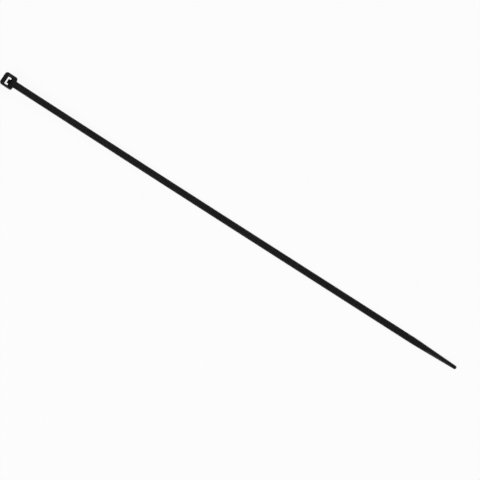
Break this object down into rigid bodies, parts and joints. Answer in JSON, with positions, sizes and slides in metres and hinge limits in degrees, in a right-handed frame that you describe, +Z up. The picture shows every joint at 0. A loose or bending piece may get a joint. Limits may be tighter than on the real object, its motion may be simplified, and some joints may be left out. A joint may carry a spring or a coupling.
{
  "type": "cable tie",
  "caption": "Self-locking cable tie, lying teeth up: a toothed strap with a tapered tail and a slotted head with a ratchet pawl.",
  "frame": {"origin": "middle of the tie's length, on its centre line, at the surface that it lies on", "axes": "+X along the strap from the head to the tip of the tail, +Z up, out of the toothed side"},
  "size_m": [0.275, 0.0072, 0.0047],
  "materials": {
    "black_nylon": "satin, as moulded"
  },
  "bodies": {
    "root": {"cable_tie": "black_nylon"}
  },
  "joints": []
}
